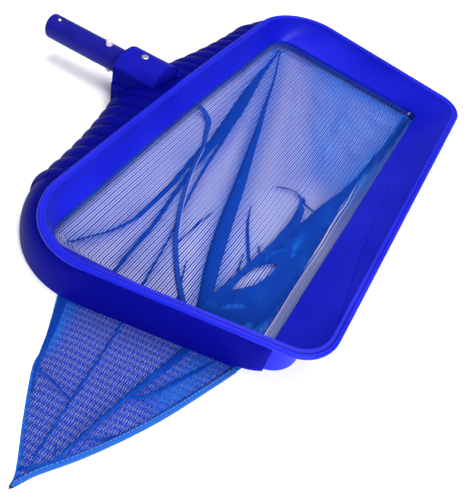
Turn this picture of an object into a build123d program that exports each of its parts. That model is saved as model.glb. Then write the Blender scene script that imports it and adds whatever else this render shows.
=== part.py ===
from build123d import *
import math
import os

# Leaf skimmer net. Millimetres, +Z up. The origin is on the axis of the spigot that the pole slides
# over, and +Y runs along that axis towards the pole. The net lies mouth up, with the skimming lip
# towards -Y. "Forward" distances run from the back edge of the rim towards -Y, and depths run down
# from the rim plane.

# ---- where the rim lies ----
RIM_BACK_Y = -138.0
RIM_Z = 11.0
FLOOR_DEPTH = 46.5

# ---- scoop ring ----
RIM_BACK_HALF = 263.0
RIM_FRONT_HALF = 213.5
RIM_LENGTH = 264.0
RIM_BOW = 5.0
RIM_BAND = 4.5
RIM_BAND_THICK = 2.5
RIM_BACK_RADIUS = 60.0
RIM_FRONT_RADIUS = 33.0
BEAD_RADIUS = 2.6
BEAD_DEPTH = 1.5
BEAD_OVERHANG = 0.4
THROAT_DEPTH = 29.0
THROAT_BACK_HALF = 229.0
THROAT_FRONT_HALF = 207.0
THROAT_BACK = 11.0
THROAT_FRONT = 222.0
THROAT_BACK_RADIUS = 22.0
THROAT_FRONT_RADIUS = 9.0
BOW_RADIUS = 5000.0
SIDE_COVE = 1.7
LIP_COVE = 1.15
COVE_WALL = 2.0
COVE_WALL_DROP = 2.2
WALL = 3.0
LAND_WIDTH = 6.0
LAND_DEPTH = 3.0
LIP_CREASE = ((40.0, 238.0), (-60.0, 246.0), (-190.0, 261.0))
LIP_CREASE_WIDTH = 1.0
LIP_CREASE_DEPTH = 0.7
SKIRT_BACK_HALF = 256.0
SKIRT_FRONT_HALF = 213.0
SKIRT_BACK = 2.0
SKIRT_FRONT = 245.0
SKIRT_BACK_RADIUS = 55.0
SKIRT_FRONT_RADIUS = 27.0
SKIRT_TOP_DEPTH = 8.0
SKIRT_DEPTH = 44.5
SKIRT_START = 214.0

# ---- hem of the bag ----
SPLINE_GROOVE = (1.4, 4.2)
SPLINE_GROOVE_DEPTH = 2.0
SPLINE_GAP = 0.2
TAPE_WIDTH = 5.0
TAPE_THICK = 1.4
CLAMP_GAP = 0.3
CLAMP_THICK = 3.0
CLAMP_PLATE_REACH = 12.0

# ---- handle yoke ----
YOKE_TOP_DEPTH = 4.6
YOKE_BOTTOM_DEPTH = 45.0
YOKE_BACK = -37.0
YOKE_BACK_HALF = 279.0
YOKE_FRONT_HALF = 219.5
YOKE_BACK_RADIUS = 90.0
YOKE_FRONT = 252.0
YOKE_FRONT_RADIUS = 60.0
YOKE_END = 226.0
YOKE_END_RISE = 3.0
YOKE_RISE_START = 200.0
YOKE_RISE_RUN = 8.0
YOKE_TUCK = 1.0
BEAD_ROOM = 4.0
RIB_COUNT = 8
RIB_PITCH = 19.3
RIB_START = 36.0
RIB_BULGE = 3.2
FIN_THICK = 1.2
FIN_PROUD = 1.7
RIB_END = 177.0
GUSSET_INNER = 34.0
GUSSET_FALL = 1.6
GUSSET_STATIONS = (29.0, 75.0, 125.0, 186.0)
GUSSET_REACH = 65.0
GUSSET_TAPER = 27.0
WEB_THICK = 2.0
RING_CLEARANCE = 0.3

# ---- socket, tube and rivets ----
SOCKET_BACK_Y = -65.0
SOCKET_FRONT_Y = -116.0
SOCKET_HALF = 24.5
SOCKET_RIDGE_Z = 8.5
SOCKET_TOP_Z = 20.4
SOCKET_FLARE = 1.5
SOCKET_BASE_Z = -8.0
SOCKET_BASE_STEP = 4.0
POCKET_TOP_Z = -19.0
POCKET_WIDTH = 40.0
POCKET_LENGTH = 42.0
TUBE_RADIUS = 14.0
SEATED_RADIUS = 13.8
BORE_RADIUS = 12.4
TUBE_INNER_END_Y = -108.0
TUBE_STEP_Y = -30.0
TUBE_FREE_END_Y = 37.0
TUBE_CHAMFER = 0.6
SOCKET_BORE_GAP = 0.05
END_HOLE_Y = 24.0
END_HOLE_RADIUS = 4.0
RIVET_Y = -88.0
RIVET_HEAD_RADIUS = 4.0
RIVET_HEAD_THICK = 1.3
RIVET_HEAD_DOME = 0.9
RIVET_HOLE_RADIUS = 2.4
RIVET_SHANK_RADIUS = 2.37
RIVET_BULB_RADIUS = 3.3
RIVET_BULB_Z = (11.6, 8.4)
RIVET_CORE_RADIUS = 1.25
MANDREL_RADIUS = 1.2
MANDREL_BALL_RADIUS = 2.0
MANDREL_BALL_LENGTH = 2.0
MANDREL_RECESS = 0.6

# ---- V-clip ----
BUTTON_Y = -41.0
BUTTON_RADIUS = 3.4
BUTTON_SHOULDER_RADIUS = 3.6
BUTTON_SHOULDER_Z = 14.3
BUTTON_TIP_Z = 20.0
BUTTON_NOSE = 3.0
BUTTON_HOLE_RADIUS = 4.0
BUTTON_FLANGE_RADIUS = 4.2
BUTTON_FLANGE_THICK = 0.8
BUTTON_TAIL_RADIUS = 1.45
BUTTON_TAIL_HEAD_RADIUS = 2.3
BUTTON_TAIL_HEAD_THICK = 0.8
LEAF_Z = 9.5
LEAF_THICK = 0.8
LEAF_WIDTH = 13.0
LEAF_ROOT_Y = 2.0
LEAF_TIP_Y = -49.0
LEAF_GAP = 0.3
LEAF_TIP_RADIUS = 5.0
LEAF_HOLE_RADIUS = 1.5

# ---- bag ----
MESH_THICK = 1.2
TAIL_TIP = (-385.0, 122.0)
TAIL_BACK = (-252.0, 47.0)
TAIL_FRONT = (-226.0, 206.0)
TAIL_BULGE = (-314.0, 172.0)
TAIL_INNER_X = -190.0
SEAM_ROUTE = ((17.0, 15.0), (19.0, 37.0), (-80.0, 64.0), (-206.0, 145.0))
SEAM_BENDS = [16.0, 150.0]
TAIL_HEM_ROUTE = ((-376.0, 126.0), (-314.0, 168.5), (-243.0, 197.0))
SEAM_WIDTH = 5.0
SEAM_THICK = 0.8

# ---- screws ----
SCREW_RADIUS = 1.75
PILOT_RADIUS = 1.8
CLAMP_HOLE_RADIUS = 2.1
SCREW_HEAD_RADIUS = 3.4
SCREW_HEAD_THICK = 2.2
SCREW_HEAD_CHAMFER = 0.6
SCREW_CROSS = (3.6, 0.9)
SCREW_CROSS_DEPTH = 1.2
SCREW_LENGTH = 9.5
PILOT_DEPTH = 7.0
BOSS_RADIUS = 3.2
BOSS_OFFSET = 9.7
BOSS_TOP_DEPTH = 2.0
BACK_BOSSES_X = (-205.0, -145.0, -68.0, 68.0, 145.0, 205.0)
SIDE_BOSSES = (52.0, 118.0, 188.0)
FRONT_BOSSES_X = (-165.0, -55.0, 55.0, 165.0)


# ---------------------------------------------------------------------------------------------------
# Outlines. Each is five corners and their radii: the middle of the bowed back edge, then the near
# back, near front, far front and far back corners. "Near" is the -X side.
# ---------------------------------------------------------------------------------------------------


def at_depth(depth):
    """The horizontal plane at a depth below the rim."""
    return Plane.XY.offset(RIM_Z - depth)


def in_row(point):
    """A (x, forward distance) pair as (x, y)."""
    return (point[0], RIM_BACK_Y - point[1])


def corners(back_half, front_half, back, front, bow):
    """Five corners, anticlockwise, of a frame outline. back and front are forward distances."""
    back_y = RIM_BACK_Y - back
    front_y = RIM_BACK_Y - front
    return [
        (0.0, back_y + bow),
        (-back_half, back_y),
        (-front_half, front_y),
        (front_half, front_y),
        (back_half, back_y),
    ]


def grow(points, distance):
    """Moves every side of an anticlockwise polygon outwards by a distance."""
    sides = []
    for start, end in zip(points, points[1:] + points[:1]):
        length = math.dist(start, end)
        along = ((end[0] - start[0]) / length, (end[1] - start[1]) / length)
        sides.append((start[0] + along[1] * distance, start[1] - along[0] * distance, along))
    grown = []
    for before, after in zip(sides[-1:] + sides[:-1], sides):
        cross = before[2][0] * after[2][1] - before[2][1] * after[2][0]
        gap = (after[0] - before[0], after[1] - before[1])
        step = (gap[0] * after[2][1] - gap[1] * after[2][0]) / cross
        grown.append((before[0] + before[2][0] * step, before[1] + before[2][1] * step))
    return grown


def mix(start, end, share):
    return start + (end - start) * share


def rim_outline(distance=0.0):
    points = corners(RIM_BACK_HALF, RIM_FRONT_HALF, 0.0, RIM_LENGTH, RIM_BOW)
    radii = [BOW_RADIUS, RIM_BACK_RADIUS, RIM_FRONT_RADIUS, RIM_FRONT_RADIUS, RIM_BACK_RADIUS]
    return grow(points, distance), [radius + distance for radius in radii]


def throat_outline(distance=0.0):
    return cove_outline(1.0, distance)


def cove_outline(share, distance=0.0):
    """The inner face of the ring at a share of the depth from the rim to the throat."""
    side = share**SIDE_COVE
    lip = share**LIP_COVE
    points = corners(
        mix(RIM_BACK_HALF - RIM_BAND, THROAT_BACK_HALF, side),
        mix(RIM_FRONT_HALF - RIM_BAND, THROAT_FRONT_HALF, side),
        mix(RIM_BAND, THROAT_BACK, side),
        mix(RIM_LENGTH - RIM_BAND, THROAT_FRONT, lip),
        RIM_BOW,
    )
    back_radius = mix(RIM_BACK_RADIUS - RIM_BAND, THROAT_BACK_RADIUS, side) + distance
    front_radius = mix(RIM_FRONT_RADIUS - RIM_BAND, THROAT_FRONT_RADIUS, lip) + distance
    radii = [BOW_RADIUS, back_radius, front_radius, front_radius, back_radius]
    return grow(points, distance), radii


def skirt_outline(distance=0.0):
    points = corners(SKIRT_BACK_HALF, SKIRT_FRONT_HALF, SKIRT_BACK, SKIRT_FRONT, RIM_BOW)
    back_radius = SKIRT_BACK_RADIUS + distance
    front_radius = SKIRT_FRONT_RADIUS + distance
    return grow(points, distance), [BOW_RADIUS, back_radius, front_radius, front_radius, back_radius]


def yoke_outline(flare, distance=0.0):
    """The outside of the yoke: under the bead at flare 0, and at its lower edge at flare 1."""
    points = corners(
        mix(RIM_BACK_HALF - YOKE_TUCK, YOKE_BACK_HALF, flare),
        mix(RIM_FRONT_HALF - YOKE_TUCK / 2.0, YOKE_FRONT_HALF, flare),
        mix(YOKE_TUCK, YOKE_BACK, flare),
        mix(RIM_LENGTH - YOKE_TUCK, YOKE_FRONT, flare),
        mix(RIM_BOW, 0.5, flare),
    )
    back_radius = mix(RIM_BACK_RADIUS, YOKE_BACK_RADIUS, flare) + distance
    front_radius = mix(RIM_FRONT_RADIUS, YOKE_FRONT_RADIUS, flare) + distance
    radii = [BOW_RADIUS, back_radius, front_radius, front_radius, back_radius]
    return grow(points, distance), radii


def outline_face(plane, outline):
    points, radii = outline
    with BuildSketch(plane) as sketch:
        with BuildLine():
            FilletPolyline(*points, radius=radii, close=True)
        make_face()
    return sketch.sketch


def outline_loft(levels):
    """A solid through (depth, outline) levels."""
    with BuildPart() as solid:
        loft([outline_face(at_depth(depth), outline) for depth, outline in levels])
    return solid.part


def outline_ring(depth_top, depth_bottom, outer, inner):
    """A flat band between two outlines, from one depth to another."""
    with BuildPart() as band:
        add(outline_block(depth_top, depth_bottom, outer))
        add(outline_block(depth_top - 1.0, depth_bottom + 1.0, inner), mode=Mode.SUBTRACT)
    return band.part


def outline_block(depth_top, depth_bottom, outline):
    with BuildPart() as block:
        add(outline_face(at_depth(depth_bottom), outline))
        extrude(amount=depth_bottom - depth_top)
    return block.part


def forward_half_space(start, side):
    """A box over everything in front of a forward distance (side -1), or behind it (side 1)."""
    reach = 500.0
    with BuildPart() as half:
        with BuildSketch(Plane.XY.offset(-100.0)):
            with Locations((0.0, RIM_BACK_Y - start + side * reach / 2.0)):
                Rectangle(900.0, reach)
        extrude(amount=200.0)
    return half.part


def finish(part, label):
    part.label = label
    export_step(part, f"parts/{label}.step")


# ---------------------------------------------------------------------------------------------------
# Bosses and screws shared by the ring, the yoke and the clamp bar
# ---------------------------------------------------------------------------------------------------


def throat_half_at(forward):
    share = (forward - THROAT_BACK) / (THROAT_FRONT - THROAT_BACK)
    return mix(THROAT_BACK_HALF, THROAT_FRONT_HALF, share)


def back_boss_places():
    edge_y = RIM_BACK_Y - THROAT_BACK + BOSS_OFFSET
    return [(x, edge_y + RIM_BOW * (1.0 - abs(x) / THROAT_BACK_HALF)) for x in BACK_BOSSES_X]


def side_boss_places(side):
    return [(side * (throat_half_at(f) + BOSS_OFFSET), RIM_BACK_Y - f) for f in SIDE_BOSSES]


def front_boss_places():
    return [(x, RIM_BACK_Y - THROAT_FRONT - BOSS_OFFSET) for x in FRONT_BOSSES_X]


def all_boss_places():
    return back_boss_places() + side_boss_places(-1) + side_boss_places(1) + front_boss_places()


CLAMP_TOP_DEPTH = THROAT_DEPTH + LAND_DEPTH + TAPE_THICK + 2.0 * CLAMP_GAP
CLAMP_BOTTOM_DEPTH = CLAMP_TOP_DEPTH + CLAMP_THICK


def bosses(places):
    """Screw posts under the ring, from the clamp up into its underside."""
    with BuildPart() as posts:
        with BuildSketch(at_depth(CLAMP_TOP_DEPTH)):
            with Locations(places):
                Circle(BOSS_RADIUS)
        extrude(amount=CLAMP_TOP_DEPTH - BOSS_TOP_DEPTH)
    return posts.part


def drill(depth_bottom, depth_top, places, radius):
    with BuildPart() as holes:
        with BuildSketch(at_depth(depth_bottom)):
            with Locations(places):
                Circle(radius)
        extrude(amount=depth_bottom - depth_top)
    return holes.part


# ---------------------------------------------------------------------------------------------------
# Scoop ring
# ---------------------------------------------------------------------------------------------------

COVE_SHARES = (0.0, 0.2, 0.4, 0.6, 0.8, 1.0)


def cove_space(distance=0.0):
    """The hollow above the ring's inner face, open through the throat."""
    levels = [(THROAT_DEPTH * s, cove_outline(s, distance)) for s in COVE_SHARES]
    return outline_loft(levels)


def cove_envelope(distance):
    """The outside of the ring's cove wall, grown by a distance."""
    thick = COVE_WALL + distance
    levels = [(0.0, cove_outline(0.0, thick))]
    levels += [(THROAT_DEPTH * s + COVE_WALL_DROP, cove_outline(s, thick)) for s in COVE_SHARES]
    return outline_loft(levels)


def lip_crease():
    """A fine groove that curves from the middle of the lip out to its near front corner."""
    with BuildPart() as strip:
        with BuildSketch(at_depth(THROAT_DEPTH)):
            with BuildLine():
                ThreePointArc(*[in_row(point) for point in LIP_CREASE])
            trace(line_width=LIP_CREASE_WIDTH)
        extrude(amount=THROAT_DEPTH - 1.0)
        add(cove_space(LIP_CREASE_DEPTH), mode=Mode.INTERSECT)
    return strip.part


def scoop_ring():
    with BuildPart() as ring:
        add(cove_envelope(0.0))
        add(outline_block(0.0, RIM_BAND_THICK, rim_outline(BEAD_OVERHANG)))
        add(outline_ring(THROAT_DEPTH - 3.0, THROAT_DEPTH + LAND_DEPTH,
                         throat_outline(LAND_WIDTH), throat_outline()))
        add(skirt())
        add(bosses(all_boss_places()))
        with BuildLine(at_depth(BEAD_DEPTH)) as rim:
            points, radii = rim_outline(BEAD_OVERHANG)
            FilletPolyline(*points, radius=radii, close=True)
        with BuildSketch(Plane(rim.line @ 0.0, z_dir=rim.line % 0.0)):
            Circle(BEAD_RADIUS)
        sweep(path=rim.wires()[0])
        add(cove_space(), mode=Mode.SUBTRACT)
        add(outline_block(THROAT_DEPTH - 1.0, YOKE_BOTTOM_DEPTH, throat_outline()), mode=Mode.SUBTRACT)
        add(lip_crease(), mode=Mode.SUBTRACT)
        groove_outer = throat_outline(SPLINE_GROOVE[1])
        groove_inner = throat_outline(SPLINE_GROOVE[0])
        groove_bottom = THROAT_DEPTH + LAND_DEPTH
        add(outline_ring(groove_bottom - SPLINE_GROOVE_DEPTH, groove_bottom, groove_outer, groove_inner),
            mode=Mode.SUBTRACT)
        add(drill(CLAMP_TOP_DEPTH, CLAMP_TOP_DEPTH - PILOT_DEPTH, all_boss_places(), PILOT_RADIUS),
            mode=Mode.SUBTRACT)
    return ring


def skirt():
    """The lower wall of the ring in front of the yoke's arms, set back under the lip."""
    with BuildPart() as wall:
        add(outline_ring(SKIRT_TOP_DEPTH, SKIRT_DEPTH, skirt_outline(), skirt_outline(-WALL)))
        add(forward_half_space(SKIRT_START, -1), mode=Mode.INTERSECT)
    return wall.part


# ---------------------------------------------------------------------------------------------------
# Handle yoke
# ---------------------------------------------------------------------------------------------------

YOKE_FLARES = (0.0, 0.3, 0.55, 0.75, 0.9, 1.0)
YOKE_HEIGHT = YOKE_BOTTOM_DEPTH - YOKE_TOP_DEPTH


def yoke_depth(flare):
    """The wall rounds over like a quarter ellipse, so most of the flare is near the top."""
    return YOKE_BOTTOM_DEPTH - YOKE_HEIGHT * math.sqrt(1.0 - flare**2)


def yoke_solid():
    return outline_loft([(yoke_depth(f), yoke_outline(f)) for f in YOKE_FLARES])


def yoke_hollow():
    levels = [(yoke_depth(f) + WALL, yoke_outline(f, -WALL)) for f in YOKE_FLARES]
    return outline_loft(levels)


def gusset_reach(x):
    """How far the yoke reaches behind the rim's back edge at its lower edge."""
    share = max(RIB_END - abs(x), 0.0) / (RIB_END - GUSSET_INNER)
    return GUSSET_REACH - GUSSET_TAPER + GUSSET_TAPER * share**GUSSET_FALL


def lobe_profile(x, bulge, inset=0.0):
    """A quarter ellipse in the YZ plane at x, from under the rim down to the lower edge."""
    base_y = RIM_BACK_Y + YOKE_TUCK
    base_z = RIM_Z - YOKE_BOTTOM_DEPTH - inset
    reach = gusset_reach(x) - YOKE_TUCK + bulge - inset
    rise = YOKE_HEIGHT - YOKE_TUCK + bulge * 0.5
    with BuildSketch(Plane.YZ.offset(x)) as sketch:
        with BuildLine():
            EllipticalCenterArc((base_y, base_z), reach, rise, start_angle=0.0, arc_size=90.0)
            Polyline((base_y, base_z + rise), (base_y, base_z), (base_y + reach, base_z))
        make_face()
    return sketch.sketch


def gusset_lobes(side):
    """The row of convex lobes between the grooves on one back arm."""
    with BuildPart() as lobes:
        for index in range(-1, RIB_COUNT):
            inner = RIB_START + RIB_PITCH * index
            outer = inner + RIB_PITCH
            middle = 0.5 * (inner + outer)
            loft([lobe_profile(side * inner, 0.0), lobe_profile(side * middle, RIB_BULGE),
                  lobe_profile(side * outer, 0.0)])
    return lobes.part


def gusset_hollow(side):
    with BuildPart() as hollow:
        loft([lobe_profile(side * x, 0.0, WALL) for x in GUSSET_STATIONS])
    return hollow.part


def gusset_webs():
    """Thin upright plates under the grooves, from the clamp plate out to the shell."""
    offsets = [RIB_START + RIB_PITCH * index for index in range(RIB_COUNT)]
    front_y = RIM_BACK_Y + 6.0
    back_y = RIM_BACK_Y + GUSSET_REACH + 5.0
    with BuildPart() as webs:
        with BuildSketch(at_depth(YOKE_BOTTOM_DEPTH)):
            with Locations([(side * x, 0.5 * (front_y + back_y)) for side in (-1, 1) for x in offsets]):
                Rectangle(WEB_THICK, back_y - front_y)
        extrude(amount=YOKE_HEIGHT)
        add(yoke_envelope, mode=Mode.INTERSECT)
    return webs.part


def gusset_fins():
    """A thin raised line down the middle of each groove."""
    with BuildPart() as fins:
        for side in (-1, 1):
            for index in range(RIB_COUNT):
                x = side * (RIB_START + RIB_PITCH * index)
                extrude(lobe_profile(x - FIN_THICK / 2.0, FIN_PROUD), amount=FIN_THICK)
    return fins.part


def clamp_plate():
    """The plate that presses the hem up against the ring, on the back and both sides."""
    outside = rim_outline(CLAMP_PLATE_REACH)
    with BuildPart() as plate:
        add(outline_ring(CLAMP_TOP_DEPTH, CLAMP_BOTTOM_DEPTH, outside, throat_outline(CLAMP_GAP)))
        add(yoke_envelope, mode=Mode.INTERSECT)
        add(forward_half_space(SKIRT_START - 2.0, 1), mode=Mode.INTERSECT)
    return plate.part


def socket_block():
    """The arched housing that the tube sits in, closed at its front end, on a stepped base."""
    bottom_z = RIM_Z - YOKE_BOTTOM_DEPTH
    base_half = SOCKET_HALF + SOCKET_BASE_STEP
    with BuildPart() as block:
        with BuildSketch(Plane.XZ.offset(-SOCKET_BACK_Y)):
            with BuildLine():
                ThreePointArc((-SOCKET_HALF, SOCKET_RIDGE_Z), (0.0, SOCKET_TOP_Z),
                              (SOCKET_HALF, SOCKET_RIDGE_Z))
                Polyline((SOCKET_HALF, SOCKET_RIDGE_Z), (SOCKET_HALF + SOCKET_FLARE, bottom_z),
                         (-SOCKET_HALF - SOCKET_FLARE, bottom_z), (-SOCKET_HALF, SOCKET_RIDGE_Z))
            make_face()
        extrude(amount=SOCKET_BACK_Y - SOCKET_FRONT_Y)
        with BuildSketch(Plane.XZ.offset(-SOCKET_BACK_Y + SOCKET_FLARE)):
            with BuildLine():
                Polyline((-base_half, bottom_z), (-base_half, SOCKET_BASE_Z), (base_half, SOCKET_BASE_Z),
                         (base_half, bottom_z), close=True)
            make_face()
        extrude(amount=SOCKET_BACK_Y - SOCKET_FRONT_Y)
    return block.part


def socket_hollows():
    """The tube's bore, the pocket under the socket and the two rivet holes."""
    with BuildPart() as hollows:
        with BuildSketch(Plane.XZ.offset(-SOCKET_BACK_Y)):
            Circle(SEATED_RADIUS + SOCKET_BORE_GAP)
        extrude(amount=SOCKET_BACK_Y - TUBE_INNER_END_Y + 0.2)
        with BuildSketch(at_depth(YOKE_BOTTOM_DEPTH)):
            with Locations((0.0, 0.5 * (SOCKET_BACK_Y + SOCKET_FRONT_Y))):
                Rectangle(POCKET_WIDTH, POCKET_LENGTH)
        extrude(amount=POCKET_TOP_Z - RIM_Z + YOKE_BOTTOM_DEPTH)
        with BuildSketch(Plane.XY.offset(RIM_Z - YOKE_BOTTOM_DEPTH)):
            with Locations((0.0, RIVET_Y)):
                Circle(RIVET_HOLE_RADIUS)
        extrude(amount=YOKE_BOTTOM_DEPTH + SOCKET_TOP_Z)
    return hollows.part


def handle_yoke():
    with BuildPart() as yoke:
        add(yoke_envelope)
        add(yoke_hollow(), mode=Mode.SUBTRACT)
        add(gusset_fins())
        for side in (-1, 1):
            add(gusset_hollow(side), mode=Mode.SUBTRACT)
        add(gusset_webs())
        add(clamp_plate())
        add(socket_block())
        add(socket_hollows(), mode=Mode.SUBTRACT)
        add(cove_envelope(RING_CLEARANCE), mode=Mode.SUBTRACT)
        add(outline_block(-3.0, YOKE_BOTTOM_DEPTH, throat_outline(CLAMP_GAP)), mode=Mode.SUBTRACT)
        add(forward_half_space(YOKE_END, -1), mode=Mode.SUBTRACT)
        add(bead_room(), mode=Mode.SUBTRACT)
        add(arm_end_relief(), mode=Mode.SUBTRACT)
        yoke_screws = back_boss_places() + side_boss_places(-1) + side_boss_places(1)
        add(drill(CLAMP_TOP_DEPTH, -3.0, yoke_screws, BOSS_RADIUS + RING_CLEARANCE), mode=Mode.SUBTRACT)
        add(drill(YOKE_BOTTOM_DEPTH, CLAMP_TOP_DEPTH, yoke_screws, CLAMP_HOLE_RADIUS), mode=Mode.SUBTRACT)
    return yoke


def arm_end_relief():
    """The arms' lower edges rise a little before their ends, above the ring's skirt."""
    rise_start = RIM_BACK_Y - YOKE_RISE_START
    lower_z = RIM_Z - YOKE_BOTTOM_DEPTH
    with BuildPart() as relief:
        with BuildSketch(Plane.YZ.offset(-300.0)):
            with BuildLine():
                Polyline((rise_start, lower_z - 1.0), (rise_start - YOKE_RISE_RUN, lower_z + YOKE_END_RISE),
                         (RIM_BACK_Y - RIM_LENGTH, lower_z + YOKE_END_RISE),
                         (RIM_BACK_Y - RIM_LENGTH, lower_z - 1.0), close=True)
            make_face()
        extrude(amount=600.0)
    return relief.part


def bead_room():
    """A band around the rim that keeps the yoke clear of the ring's bead and upper wall."""
    return outline_block(-3.0, YOKE_TOP_DEPTH, rim_outline(BEAD_ROOM))


with BuildPart() as envelope:
    add(yoke_solid())
    for envelope_side in (-1, 1):
        add(gusset_lobes(envelope_side))
yoke_envelope = envelope.part


# ---------------------------------------------------------------------------------------------------
# Hem of the bag and the clamp bar under the lip
# ---------------------------------------------------------------------------------------------------


def front_clamp_bar():
    with BuildPart() as bar:
        skirt_inside = skirt_outline(-WALL - CLAMP_GAP)
        add(outline_ring(CLAMP_TOP_DEPTH, CLAMP_BOTTOM_DEPTH, skirt_inside, throat_outline(CLAMP_GAP)))
        add(forward_half_space(SKIRT_START, -1), mode=Mode.INTERSECT)
        add(drill(CLAMP_BOTTOM_DEPTH, CLAMP_TOP_DEPTH, front_boss_places(), CLAMP_HOLE_RADIUS),
            mode=Mode.SUBTRACT)
    return bar


def hem_tape():
    top = THROAT_DEPTH + LAND_DEPTH + CLAMP_GAP
    return outline_ring(top, top + TAPE_THICK, throat_outline(TAPE_WIDTH), throat_outline())


def hem_spline():
    bottom = THROAT_DEPTH + LAND_DEPTH
    top = bottom - SPLINE_GROOVE_DEPTH + SPLINE_GAP
    outer = throat_outline(SPLINE_GROOVE[1] - SPLINE_GAP)
    inner = throat_outline(SPLINE_GROOVE[0] + SPLINE_GAP)
    return outline_ring(top, bottom, outer, inner)


def screws(places):
    """Pan head screws, driven up through the clamp into the ring's bosses."""
    with BuildPart() as group:
        with BuildSketch(at_depth(CLAMP_BOTTOM_DEPTH)):
            with Locations(places):
                Circle(SCREW_RADIUS)
        extrude(amount=SCREW_LENGTH)
        with BuildSketch(at_depth(CLAMP_BOTTOM_DEPTH)):
            with Locations(places):
                Circle(SCREW_HEAD_RADIUS)
        extrude(amount=-SCREW_HEAD_THICK)
        head_depth = CLAMP_BOTTOM_DEPTH + SCREW_HEAD_THICK
        rims = group.edges().filter_by(GeomType.CIRCLE).group_by(Axis.Z)[0]
        chamfer(rims, length=SCREW_HEAD_CHAMFER)
        with BuildSketch(at_depth(head_depth)):
            with Locations(places):
                Rectangle(SCREW_CROSS[0], SCREW_CROSS[1])
                Rectangle(SCREW_CROSS[1], SCREW_CROSS[0])
        extrude(amount=SCREW_CROSS_DEPTH, mode=Mode.SUBTRACT)
    return group


# ---------------------------------------------------------------------------------------------------
# Tube, rivets and V-clip
# ---------------------------------------------------------------------------------------------------


def handle_tube():
    """The drawn tube: a spigot for the pole, then a slightly thinner stretch that sits in the socket."""
    with BuildPart() as tube:
        with BuildSketch(Plane.XZ.offset(-TUBE_FREE_END_Y)):
            Circle(TUBE_RADIUS)
            Circle(BORE_RADIUS, mode=Mode.SUBTRACT)
        extrude(amount=TUBE_FREE_END_Y - TUBE_STEP_Y)
        free_end = tube.edges().filter_by(GeomType.CIRCLE).group_by(Axis.Y)[-1]
        chamfer(free_end, length=TUBE_CHAMFER)
        with BuildSketch(Plane.XZ.offset(-TUBE_STEP_Y)):
            Circle(SEATED_RADIUS)
            Circle(BORE_RADIUS, mode=Mode.SUBTRACT)
        extrude(amount=TUBE_STEP_Y - TUBE_INNER_END_Y)
        stations = ((END_HOLE_Y, END_HOLE_RADIUS), (BUTTON_Y, BUTTON_HOLE_RADIUS),
                    (RIVET_Y, RIVET_HOLE_RADIUS))
        for y, radius in stations:
            with BuildSketch(Plane.XY.offset(-TUBE_RADIUS - 1.0)):
                with Locations((0.0, y)):
                    Circle(radius)
            extrude(amount=2.0 * TUBE_RADIUS + 2.0, mode=Mode.SUBTRACT)
    return tube


def rivet_body(seat_z, side):
    """A blind rivet: a domed flange on its seat, a shank and a bulb inside the tube."""
    bulb_z = side * RIVET_BULB_Z[0]
    bulb_end_z = side * RIVET_BULB_Z[1]
    with BuildPart() as body:
        with BuildSketch(Plane.XY.offset(seat_z)):
            with Locations((0.0, RIVET_Y)):
                Circle(RIVET_HEAD_RADIUS)
        extrude(amount=side * RIVET_HEAD_THICK)
        dome = body.edges().filter_by(GeomType.CIRCLE).group_by(Axis.Z)[-1 if side > 0 else 0]
        fillet(dome, radius=RIVET_HEAD_DOME)
        with BuildSketch(Plane.XY.offset(bulb_z)):
            with Locations((0.0, RIVET_Y)):
                Circle(RIVET_SHANK_RADIUS)
        extrude(amount=seat_z - bulb_z)
        with BuildSketch(Plane.XY.offset(bulb_end_z)):
            with Locations((0.0, RIVET_Y)):
                Circle(RIVET_BULB_RADIUS)
        extrude(amount=bulb_z - bulb_end_z)
        with BuildSketch(Plane.XY.offset(bulb_end_z - side)):
            with Locations((0.0, RIVET_Y)):
                Circle(RIVET_CORE_RADIUS)
        extrude(amount=seat_z - bulb_end_z + side * 3.0, mode=Mode.SUBTRACT)
    return body


def rivet_mandrel(seat_z, side):
    """The broken-off mandrel left in a blind rivet, with its ball below the bulb."""
    stem_top_z = seat_z + side * (RIVET_HEAD_THICK - MANDREL_RECESS)
    stem_end_z = side * (RIVET_BULB_Z[1] - 0.05)
    with BuildPart() as mandrel:
        with BuildSketch(Plane.XY.offset(stem_end_z)):
            with Locations((0.0, RIVET_Y)):
                Circle(MANDREL_RADIUS)
        extrude(amount=stem_top_z - stem_end_z)
        with BuildSketch(Plane.XY.offset(stem_end_z)):
            with Locations((0.0, RIVET_Y)):
                Circle(MANDREL_BALL_RADIUS)
        extrude(amount=-side * MANDREL_BALL_LENGTH)
        ball = mandrel.edges().filter_by(GeomType.CIRCLE).group_by(Axis.Z)[0 if side > 0 else -1]
        fillet(ball, radius=0.6 * MANDREL_BALL_RADIUS)
    return mandrel


def clip_bend():
    """The rounded end of the V-clip's spring strip, which stays put in the bore."""
    bend_y = LEAF_ROOT_Y + LEAF_GAP
    outer = LEAF_Z + LEAF_THICK
    with BuildPart() as bend:
        with BuildSketch(Plane.YZ.offset(-LEAF_WIDTH / 2.0)):
            with BuildLine():
                CenterArc((bend_y, 0.0), outer, -90.0, 180.0)
                Line((bend_y, outer), (bend_y, LEAF_Z))
                CenterArc((bend_y, 0.0), LEAF_Z, -90.0, 180.0)
                Line((bend_y, -LEAF_Z), (bend_y, -outer))
            make_face()
        extrude(amount=LEAF_WIDTH)
    return bend


def clip_leaf(side):
    """One leg of the spring strip, with a round end under its button."""
    with BuildPart() as leaf:
        with BuildSketch(Plane.XY.offset(side * LEAF_Z)):
            with Locations((0.0, 0.5 * (LEAF_ROOT_Y + LEAF_TIP_Y))):
                Rectangle(LEAF_WIDTH, LEAF_ROOT_Y - LEAF_TIP_Y)
        extrude(amount=side * LEAF_THICK)
        tip_edges = leaf.edges().filter_by(Axis.Z).group_by(Axis.Y)[0]
        fillet(tip_edges, radius=LEAF_TIP_RADIUS)
        with BuildSketch(Plane.XY.offset(side * (LEAF_Z - 1.0))):
            with Locations((0.0, BUTTON_Y)):
                Circle(LEAF_HOLE_RADIUS)
        extrude(amount=side * 3.0, mode=Mode.SUBTRACT)
    return leaf


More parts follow.
